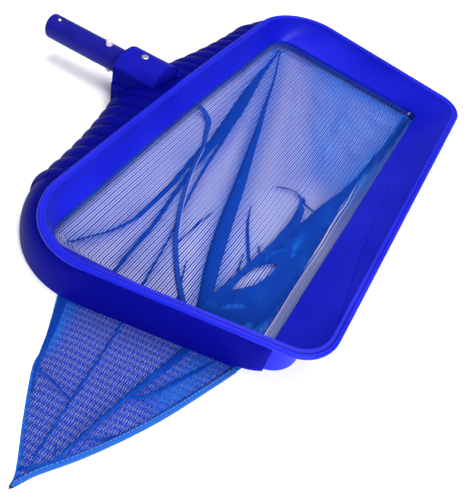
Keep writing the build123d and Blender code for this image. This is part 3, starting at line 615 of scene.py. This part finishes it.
def pleat(cloth, points, widths, base, layers, gather=1.0):
    """A flattened fold along a line: each layer is a closed, slightly rounded loop across the line."""
    middle, width, across, lengths = track(points, widths, 3.0)
    width = np.maximum(width, 0.5)
    count = len(middle)
    faces = profile_faces(len(PLEAT_PROFILE), count)
    gathers = np.full(count * len(PLEAT_PROFILE), gather)
    for layer in range(layers):
        plans, heights, threads = [], [], []
        for share, rise in PLEAT_PROFILE:
            plan = middle + across * (width * share * (1.0 - PLEAT_NARROWING * layer))[:, None]
            plans.append(plan)
            heights.append(base(plan) + (rise + PLEAT_RISE * layer) * np.minimum(1.0, 0.4 + width / 8.0))
            threads.append(np.column_stack([lengths, width * share]))
        cloth.add(np.vstack(plans), np.concatenate(heights), np.vstack(threads), gathers, faces)


# ---- the bag ---------------------------------------------------------------------------------------

WALL_LIFT = 8.5
WALL_INSET = 0.9
HEM_OFFSETS = (4.6, 0.8, -0.6, -0.8)
HEM_LIFTS = (14.0, 13.6, 13.2, 11.5, WALL_LIFT)
HEM_GATHER = 0.2
TAIL_FOLD_GATHER = 0.9
TAIL_EDGE = [(-234.0, 41.0), (-258.0, 53.0), (-300.0, 75.0), (-318.0, 81.0), (-350.0, 102.0),
             (-381.0, 124.0), (-392.0, 127.5), (-383.0, 133.0), (-374.0, 137.5), (-350.0, 154.0),
             (-320.0, 171.5), (-290.0, 186.0), (-250.0, 202.0), (-228.0, 210.0), (-216.0, 214.0)]
TAIL_OUTLINE = smooth(TAIL_EDGE, 3.5)
S_CREASE = [(240.0, 28.0), (50.0, 104.0), (-20.0, 135.0), (-14.0, 156.0), (-26.0, 200.0)]

# Soft ridges in the cloth on the floor: points, half width and height.
RIDGES = [
    ([(240.0, 28.0), (150.0, 68.0), (50.0, 104.0), (0.0, 119.0), (-32.0, 136.0)], 9.0, 2.2),
    ([(-32.0, 128.0), (-20.0, 138.0), (-14.0, 156.0), (-20.0, 170.0), (-30.0, 190.0)], 2.6, 2.0),
    ([(-12.0, 160.0), (100.0, 150.0), (215.0, 132.0)], 4.0, 1.0),
    ([(238.0, 22.0), (100.0, 46.0), (0.0, 58.0), (-100.0, 66.0), (-210.0, 76.0)], 9.0, 1.6),
    ([(238.0, 20.0), (100.0, 62.0), (0.0, 92.0), (-100.0, 122.0), (-210.0, 160.0)], 10.0, 1.8),
    ([(-208.0, 30.0), (-178.0, 44.0), (-100.0, 54.0)], 5.0, 1.2),
    ([(-214.0, 104.0), (-150.0, 95.0), (-60.0, 72.0)], 5.0, 1.2),
    ([(-215.0, 168.0), (-140.0, 176.0), (-20.0, 192.0), (200.0, 214.0)], 13.0, 3.0),
]


# Soft ridges in the upper cloth of the tail: points, half width and height.
TAIL_RIDGES = [
    ([(-250.0, 111.0), (-370.0, 128.0)], 5.0, 1.4),
    ([(-238.0, 166.0), (-300.0, 152.0), (-362.0, 141.0)], 6.0, 2.2),
    ([(-318.0, 82.0), (-314.0, 100.0), (-322.0, 121.0)], 4.0, 1.3),
    ([(-300.0, 153.0), (-285.0, 167.0), (-245.0, 186.0)], 6.0, 1.8),
]

# The bunched cloth: the outlines of its two layers, and the opening in both.
BUNCH_EDGE = [(-214.0, 157.0), (-185.0, 155.0), (-170.0, 157.0), (-140.0, 162.0), (-100.0, 169.0),
              (-55.0, 172.0), (-20.0, 168.0), (-30.0, 177.0), (-52.0, 181.5), (-20.0, 187.0), (20.0, 197.0),
              (60.0, 203.5), (110.0, 206.0), (160.0, 210.0), (205.0, 215.0), (198.0, 217.0), (150.0, 212.5),
              (60.0, 206.5), (0.0, 205.5), (-60.0, 208.5), (-130.0, 210.5), (-207.0, 210.5)]
BUNCH_UNDER = [(-214.0, 161.0), (-172.0, 160.0), (-130.0, 168.0), (-95.0, 174.0), (-60.0, 178.0),
               (-48.0, 184.0), (-10.0, 191.5), (30.0, 201.0), (60.0, 204.0), (30.0, 204.5), (-20.0, 205.5),
               (-80.0, 207.5), (-150.0, 208.5), (-186.0, 206.0), (-192.0, 196.0), (-214.0, 190.0)]
LENS = [(-167.0, 165.5), (-150.0, 166.5), (-133.0, 171.0), (-119.0, 180.0), (-113.0, 187.0),
        (-130.0, 186.0), (-148.0, 181.0), (-160.0, 173.0)]

# Streaks where the bunched cloth opens up, paler as painted light: points, half width and amount.
LIT_STREAKS = [
    ([(-187.0, 171.0), (-181.0, 176.0), (-174.0, 183.0)], 1.3, 0.90),
    ([(-96.0, 194.0), (-84.0, 191.0), (-74.0, 190.0)], 0.9, 0.40),
    ([(-118.0, 174.5), (-104.0, 178.0), (-96.0, 184.0)], 1.0, 0.35),
    ([(-40.0, 180.5), (-22.0, 179.0), (-4.0, 183.0)], 1.2, 0.35),
    ([(-196.0, 199.0), (-188.0, 206.0), (-176.0, 209.0)], 3.0, 0.60),
    ([(-206.0, 186.0), (-196.0, 193.0), (-186.0, 197.0)], 2.2, 0.50),
]

# Folds on the floor of the bag: points, widths at those points and how many loops deep.
FLOOR_PLEATS = [
    ([(216.0, 21.0), (150.0, 28.0), (100.0, 35.5), (50.0, 44.0), (0.0, 50.0), (-40.0, 52.5)],
     [2.0, 7.0, 13.0, 15.0, 11.0, 7.0], 2),
    ([(-10.0, 46.0), (-60.0, 50.0), (-110.0, 53.0), (-150.0, 52.0), (-178.0, 44.0), (-212.0, 24.0)],
     [8.0, 6.0, 4.5, 3.0, 2.0, 1.4], 1),
    ([(-10.0, 52.0), (-60.0, 57.0), (-100.0, 62.5), (-150.0, 70.0), (-218.0, 74.5)],
     [7.0, 5.0, 4.5, 4.0, 3.5], 1),
    ([(30.0, 53.0), (0.0, 58.0), (-50.0, 66.0), (-100.0, 77.0), (-150.0, 90.0), (-218.0, 103.5)],
     [2.0, 3.5, 3.0, 2.2, 1.8, 2.2], 1),
    ([(214.0, 24.0), (150.0, 47.0), (100.0, 62.0), (50.0, 78.0), (0.0, 93.0), (-50.0, 108.0),
      (-100.0, 122.0), (-150.0, 138.0), (-186.0, 152.0), (-216.0, 164.0)],
     [1.6, 2.6, 4.0, 6.5, 9.0, 12.0, 14.0, 14.0, 12.0, 12.0], 2),
    ([(-152.0, 99.0), (-118.0, 101.0), (-95.0, 104.0)], [1.2, 1.8, 0.8], 1),
    ([(-206.0, 136.0), (-180.0, 124.0), (-162.0, 117.0)], [2.2, 1.8, 0.8], 1),
    ([(-128.0, 164.0), (-108.0, 152.0), (-85.0, 139.0), (-62.0, 130.0)], [2.6, 3.0, 2.4, 0.8], 1),
    ([(-114.0, 170.0), (-108.0, 164.0), (-102.0, 161.0)], [2.2, 1.6, 0.8], 1),
    ([(-150.0, 163.0), (-135.0, 158.0), (-122.0, 155.0)], [2.2, 1.6, 0.8], 1),
    ([(-22.0, 138.0), (-16.0, 148.0), (-14.0, 160.0), (-22.0, 172.0), (-29.0, 187.0)],
     [0.8, 1.6, 2.0, 1.8, 1.2], 1),
    ([(-60.0, 176.0), (-36.0, 172.5), (-15.0, 170.0), (-14.0, 164.0)], [6.0, 3.0, 2.2, 1.0], 1),
    ([(206.0, 217.5), (150.0, 211.0), (100.0, 206.5), (55.0, 204.5), (10.0, 203.0)],
     [2.0, 2.6, 3.2, 4.0, 6.0], 1),
]
TAIL_PLEATS = [
    ([(-226.0, 107.0), (-250.0, 111.0), (-290.0, 117.0), (-320.0, 121.0), (-369.0, 128.0)],
     [2.2, 2.0, 1.8, 2.0, 1.4], 1),
    ([(-222.0, 170.0), (-240.0, 166.0), (-270.0, 159.0), (-300.0, 152.5), (-330.0, 146.5), (-363.0, 141.0)],
     [7.0, 6.5, 5.5, 4.0, 3.0, 2.0], 1),
    ([(-300.0, 153.0), (-288.0, 165.0), (-266.0, 175.0), (-243.0, 186.0), (-222.0, 196.0)],
     [2.0, 3.0, 3.4, 2.6, 1.6], 1),
    ([(-342.0, 146.5), (-326.0, 163.0), (-308.0, 174.0), (-286.0, 183.0), (-258.0, 194.0)],
     [1.2, 2.2, 2.0, 1.6, 1.0], 1),
    ([(-318.0, 83.0), (-318.5, 96.0), (-320.5, 108.0), (-323.0, 120.0)], [2.0, 1.8, 1.5, 1.0], 1),
    ([(-256.0, 58.0), (-282.0, 70.0), (-312.0, 82.0), (-334.0, 95.0)], [7.0, 6.0, 3.5, 1.5], 1),
    ([(-379.0, 124.5), (-370.0, 134.0), (-357.0, 146.0), (-346.0, 153.5)], [2.0, 2.4, 3.0, 2.0], 1),
    ([(-358.0, 138.0), (-352.0, 133.0)], [1.6, 0.8], 1),
]


def ridge_lift(plan):
    total = np.zeros(len(plan))
    for points, half_width, height in RIDGES:
        total += height * closeness(plan, smooth(points, 12.0), half_width)
    return total


PULL_CORNER = (250.0, 8.0)


def ripple(plan, reach=1.0):
    """Gentle pulls that fan out from the far back corner, where the bag is held tightest."""
    away, forward = PULL_CORNER[0] - plan[:, 0], plan[:, 1] - PULL_CORNER[1]
    angle = np.arctan2(forward, away)
    radius = np.hypot(forward, away)
    fan = np.sin(angle * 41.0 + 0.6 * np.sin(radius / 37.0)) * ramp(radius, 0.0, 260.0)
    return reach * (0.45 * fan + 0.25 * np.sin(plan[:, 0] / 13.0 + plan[:, 1] / 7.0))


# The sides that the lower cloth hangs from, with how far each wall runs out before it is down.
WALLS = ((FAR_BACK, BACK_MIDDLE, 30.0), (BACK_MIDDLE, NEAR_BACK, 30.0), (FAR_FRONT, FAR_BACK, 26.0),
         (NEAR_FRONT, FAR_FRONT, 13.0))


def floor_lift(plan):
    """The lower cloth: it hangs from three sides of the throat, and lies on the floor between them."""
    wall = np.zeros(len(plan))
    for start, end, run in WALLS:
        away = distance(plan, np.array([start, end])) - WALL_INSET
        wall = np.maximum(wall, (WALL_LIFT - EDGE_LIFT) * ramp(away, run, 0.0) ** 2.3)
    in_throat = ramp(plan[:, 0], -206.0, -192.0)
    loose = (0.5 + ridge_lift(plan) + ripple(plan)) * in_throat
    wall *= ramp(plan[:, 0], -232.0, -226.0)
    return EDGE_LIFT + wall + np.maximum(loose, 0.0) * (1.0 - wall / WALL_LIFT)


def fold_shade(plan):
    """The cloth crowds a little on each side of a fold, and its deeper colour there is painted shade."""
    shade = np.zeros(len(plan))
    for points, widths, layers in FLOOR_PLEATS:
        beside = closeness(plan, smooth(points, 12.0), 1.5 + 0.9 * max(widths))
        shade = np.maximum(shade, 0.16 * layers * beside)
    return shade


def floor_gather(plan):
    """The cloth is bunched more towards the front and far side, beyond the S-shaped crease."""
    crease = smooth(S_CREASE, 10.0)
    region = np.vstack([crease, [(260.0, 230.0), (260.0, 28.0)]])
    depth = np.where(inside(plan, region), ramp(distance(plan, crease), 0.0, 55.0), 0.0)
    front = ramp(plan[:, 1], 206.0, 212.0) * ramp(plan[:, 0], -60.0, 60.0)
    border = np.where(plan[:, 0] < -225.0, border_gather(plan), 0.0)
    return np.clip(0.04 + 0.40 * depth + 0.58 * front + border + fold_shade(plan), 0.0, 1.0)


def split_throat():
    """The loop where the walls start, as the side over the tail and the rest, end to end."""
    loop = grown(THROAT, -WALL_INSET)
    over_tail = (loop[:, 0] < -195.0) & (loop[:, 1] > 36.0) & (loop[:, 1] < 210.0)
    first = int(np.argmax(over_tail & ~np.roll(over_tail, 1)))
    rolled = np.roll(loop, -first, axis=0)
    count = int(over_tail.sum())
    return rolled[:count], rolled[count:]


def tail_lift(plan):
    """The upper cloth of the tail: it drops from the near edge of the throat and runs out, nearly flat."""
    near_edge = np.array([NEAR_BACK, NEAR_FRONT])
    share = ramp(distance(plan, near_edge), 24.0, 0.0)
    border = ramp(distance(plan, TAIL_OUTLINE), 0.0, 9.0)
    free = ramp(plan[:, 0], -258.0, -284.0)
    puff = 0.45 + free * (0.9 + 0.7 * np.sin(plan[:, 1] / 6.5 + plan[:, 0] / 40.0) + ripple(plan, 0.5))
    folds = sum(height * closeness(plan, np.array(line), half_width)
                for line, half_width, height in TAIL_RIDGES)
    return EDGE_LIFT + (WALL_LIFT - EDGE_LIFT) * share**1.8 + border * (puff + free * folds)


def border_gather(plan):
    """The edge of the tail is doubled over, so it is dense."""
    return 0.6 * closeness(plan, TAIL_OUTLINE, 2.2)


def tail_gather(plan):
    """The cloth of the tail is bunched along its borders and beside two of its folds."""
    back_fold = np.array([(-250.0, 64.0), (-300.0, 77.0)])
    front_fold = np.array([(-238.0, 186.0), (-285.0, 176.0)])
    beside_folds = 0.5 * closeness(plan, back_fold, 9.0) + 0.40 * closeness(plan, front_fold, 13.0)
    return np.clip(0.03 + beside_folds + border_gather(plan), 0.0, 1.0)


def hem_rows(loop_inset):
    """Loops from the groove in the ring, round the edge of the throat and down to where the walls start."""
    return [grown(THROAT, offset) for offset in HEM_OFFSETS] + [loop_inset]


def bunch_lift(extra):
    """The bunched cloth along the front: long loose folds that run with the lip. extra raises a layer."""
    def lift(plan):
        x, forward = plan[:, 0], plan[:, 1]
        waves = np.sin((forward - 0.14 * x) / 2.6 + extra) + 0.6 * np.sin(x / 21.0)
        swell = np.clip((60.0 - x) / 120.0, 0.25, 1.0)
        return floor_lift(plan) + 0.7 + 0.9 * extra + 0.55 * waves * swell
    return lift


def bunch_gather(plan):
    """Dense cloth, with a few stretched streaks where it opens up again, paler there as painted light."""
    lit_opening = np.zeros(len(plan))
    for line, half_width, amount in LIT_STREAKS:
        lit_opening = np.maximum(lit_opening, amount * closeness(plan, smooth(line, 4.0), half_width))
    return 0.94 - lit_opening


def joined(line, tail):
    """A closed loop of a line and the tail's edge, whichever way round they meet."""
    starts_near = np.linalg.norm(line[-1] - tail[0]) < np.linalg.norm(line[-1] - tail[-1])
    return np.vstack([line, tail if starts_near else tail[::-1]])


def make_bag(material):
    cloth = Cloth()
    over_tail, other_sides = split_throat()
    loop_inset = grown(THROAT, -WALL_INSET)
    strip(cloth, hem_rows(loop_inset), HEM_LIFTS, HEM_GATHER)
    lower = joined(other_sides, TAIL_OUTLINE)
    upper = joined(over_tail, TAIL_OUTLINE)
    edge_of_walls = {(round(x, 2), round(forward, 2)) for x, forward in loop_inset}

    def on_edges(height):
        """Outline points keep the lift of what they are sewn to."""
        def lift(plan):
            heights = height(plan)
            for number, (x, forward) in enumerate(plan):
                if (round(x, 2), round(forward, 2)) in edge_of_walls:
                    heights[number] = WALL_LIFT
            return heights
        return lift

    def lower_lift(plan):
        heights = floor_lift(plan)
        border = ramp(distance(plan, TAIL_OUTLINE), 0.0, 6.0)
        return np.where(plan[:, 0] < TAIL_START, EDGE_LIFT - 0.2 * border, heights)

    patch(cloth, lower, on_edges(lower_lift), floor_gather)
    patch(cloth, upper, on_edges(tail_lift), tail_gather, turn=0.35)
    top = spaced(np.array(BUNCH_EDGE + BUNCH_EDGE[:1]), 3.5)[:-1]
    under = spaced(np.array(BUNCH_UNDER + BUNCH_UNDER[:1]), 3.5)[:-1]
    patch(cloth, top, bunch_lift(0.6), bunch_gather, turn=0.2, holes=[LENS], step=2.6)
    patch(cloth, under, bunch_lift(0.0), bunch_gather, turn=-0.25, holes=[LENS])
    for points, widths, layers in FLOOR_PLEATS:
        pleat(cloth, points, widths, floor_lift, layers)
    for points, widths, layers in TAIL_PLEATS:
        pleat(cloth, points, widths, tail_lift, layers, TAIL_FOLD_GATHER)
    return cloth.make("bag_net", material)


# Points round a sewn tape: the share of its width and the share of its thickness.
BAND_PROFILE = ((-0.5, 0.35), (-0.46, 0.85), (-0.25, 1.0), (0.0, 1.05), (0.25, 1.0), (0.46, 0.85),
                (0.5, 0.35), (0.4, 0.0), (-0.4, 0.0))


def band(name, points, widths, lift, thick, material):
    """A sewn tape along a line: a low closed band with rounded edges."""
    cloth = Cloth()
    middle, width, across, lengths = track(points, widths, 2.0)
    sides, count = len(BAND_PROFILE), len(middle)
    plans, heights, threads = [], [], []
    for share, rise in BAND_PROFILE:
        plan = middle + across * (width * share)[:, None]
        plans.append(plan)
        heights.append(lift(plan) + rise * thick)
        threads.append(np.column_stack([lengths, width * share]))
    first_end = [number * count for number in range(sides)][::-1]
    last_end = [number * count + count - 1 for number in range(sides)]
    faces = profile_faces(sides, count) + [first_end, last_end]
    cloth.add(np.vstack(plans), np.concatenate(heights), np.vstack(threads), np.ones(count * sides), faces)
    return cloth.make(name, material)


SEAM_LINE = [(28.0, 9.0), (29.0, 16.0), (21.0, 28.0), (0.0, 37.5), (-20.0, 46.0), (-60.0, 57.0),
             (-100.0, 72.0), (-130.0, 86.0), (-150.0, 97.0), (-180.0, 119.0), (-206.0, 143.0)]
SEAM_WIDTHS = [7.0, 7.0, 6.5, 5.0, 4.4, 4.0, 4.0, 4.0, 4.2, 4.6, 5.0]
HEM_LINE = [(-389.0, 128.0), (-374.0, 135.5), (-350.0, 152.0), (-320.0, 169.5), (-290.0, 184.0),
            (-250.0, 200.0), (-230.0, 207.5)]
HEM_WIDTHS = [2.0, 4.6, 5.0, 5.0, 5.0, 5.0, 5.0]


def seam_lift(plan):
    return floor_lift(plan) + 1.6


def seam_stitch_lift(plan):
    return seam_lift(plan) + 0.5


def tail_hem_lift(plan):
    return np.full(len(plan), EDGE_LIFT + 0.75)


def hem_stitch_lift(plan):
    return tail_hem_lift(plan) + 0.8


STITCH_PITCH = 3.4
STITCH_LENGTH = 2.9
STITCH_SIDES = 6
STITCH_RINGS = ((-0.5, 0.35, -0.25), (-0.25, 1.0, 0.1), (0.25, 1.0, 0.1), (0.5, 0.35, -0.25))


def stitches(name, line, lift, offset, radius, material):
    """A row of short raised stitches beside a line. Each stitch is a closed tube of four rings: where
    the ring is along the stitch, how wide it swells and how far it rises."""
    line = smooth(line, 0.5)
    lengths = lengths_along(line)
    vertices, faces = [], []
    sides = STITCH_SIDES
    for at in np.arange(STITCH_PITCH, lengths[-1] - STITCH_PITCH, STITCH_PITCH):
        middle = np.array([np.interp(at, lengths, line[:, axis]) for axis in range(2)])
        ahead = np.array([np.interp(at + 0.5, lengths, line[:, axis]) for axis in range(2)]) - middle
        ahead /= np.linalg.norm(ahead)
        sideways = np.array([ahead[1], -ahead[0]])
        start = len(vertices)
        for share, swell, rise in STITCH_RINGS:
            centre = middle + ahead * STITCH_LENGTH * share + sideways * offset
            base = float(lift(centre[None, :])[0]) + rise
            for side in range(sides):
                angle = 2.0 * math.pi * side / sides
                plan = centre + sideways * radius * swell * math.cos(angle)
                height = base + radius * swell * math.sin(angle)
                vertices.append((plan[0] * MM, RIM_BACK_Y - plan[1] * MM, FLOOR_Z + height * MM))
        last = len(STITCH_RINGS) - 1
        for ring in range(last):
            near, far = start + ring * sides, start + (ring + 1) * sides
            for side in range(sides):
                after = (side + 1) % sides
                faces.append((near + side, near + after, far + after, far + side))
        faces.append(tuple(start + side for side in range(sides))[::-1])
        faces.append(tuple(start + last * sides + side for side in range(sides)))
    mesh = bpy.data.meshes.new(name)
    mesh.from_pydata(vertices, [], faces)
    mesh.shade_smooth()
    mesh.materials.append(material)
    piece = bpy.data.objects.new(name, mesh)
    bpy.context.collection.objects.link(piece)
    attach(piece, "frame")
    return piece


# ---- finishes for the CAD nodes --------------------------------------------------------------------


# Body, clouded and worn colours of the two mouldings, and the dark and light colours of woven things.
RING_BLUES = ((0.0040, 0.0070, 0.40), (0.007, 0.011, 0.46), (0.02, 0.03, 0.58))
# The yoke's blues are painted shade: the ring's plastic made darker, for the shade that falls in the yoke's
# lobes.
YOKE_SHADED_BLUES = ((0.0016, 0.0018, 0.165), (0.0022, 0.0026, 0.190), (0.012, 0.014, 0.40))
TAPE_BLUES = ((0.001, 0.018, 0.19), (0.003, 0.045, 0.33))
HEM_BLUES = ((0.002, 0.050, 0.30), (0.025, 0.120, 0.44))
SEAM_THREAD_BLUES = ((0.30, 0.36, 0.70), (0.50, 0.55, 0.82))
HEM_THREAD_BLUES = ((0.03, 0.12, 0.55), (0.10, 0.24, 0.70))


def paint(material, *nodes):
    for node in nodes:
        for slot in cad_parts[node].material_slots:
            slot.link = "OBJECT"
            slot.material = material


def finish_hard_parts():
    ring = moulded_plastic("ring_plastic", *RING_BLUES, roughness=0.42, gloss=0.14, index=1.45)
    # The yoke takes the darker blues, painted shade for its lobes.
    yoke = moulded_plastic("yoke_plastic", *YOKE_SHADED_BLUES, roughness=0.46, gloss=0.05, index=1.22)
    rivet = bare_metal("rivet_aluminium", (0.62, 0.62, 0.66), 0.34, 900.0)
    steel = bare_metal("mandrel_steel", (0.30, 0.30, 0.33), 0.42, 900.0)
    spring = bare_metal("spring_steel", (0.45, 0.46, 0.48), 0.28, 1200.0)
    screw = bare_metal("screw_steel", (0.52, 0.53, 0.55), 0.3, 900.0)
    paint(ring, "scoop_ring")
    paint(yoke, "handle_yoke", "front_clamp_bar")
    paint(coated_tube("tube_coating"), "handle_tube")
    paint(rivet, "rivet_body_top", "rivet_body_bottom")
    paint(steel, "rivet_mandrel_top", "rivet_mandrel_bottom")
    paint(spring, "clip_bend", "clip_leaf_top", "clip_leaf_bottom")
    paint(button_nylon("button_nylon"), "clip_button_top", "clip_button_bottom")
    paint(screw, "back_screws", "near_screws", "far_screws", "front_screws")
    paint(spline_vinyl("hem_spline_vinyl"), "hem_spline")


add_camera()
add_floor(paper_floor("floor_paper"))
add_lights()
finish_hard_parts()
tape = tape_material("binding_tape", *TAPE_BLUES)
hem_cloth = tape_material("hem_cloth", *HEM_BLUES)
thread = thread_material("sewing_thread", *SEAM_THREAD_BLUES)
hem_thread = thread_material("hem_thread", *HEM_THREAD_BLUES)
bag = make_bag(net_material("bag_mesh"))
seam = band("bag_seam_tape", SEAM_LINE, SEAM_WIDTHS, seam_lift, 0.35, tape)
hem = band("tail_hem_tape", HEM_LINE, HEM_WIDTHS, tail_hem_lift, 0.8, hem_cloth)
seam_stitches = stitches("seam_stitches", SEAM_LINE[4:9], seam_stitch_lift, 2.4, 0.26, thread)
hem_stitches = stitches("hem_stitches", HEM_LINE, hem_stitch_lift, 1.2, 0.22, hem_thread)
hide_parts("mesh_bag", "hem_tape")
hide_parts("bag_side_seam")
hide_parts("bag_tail_hem")
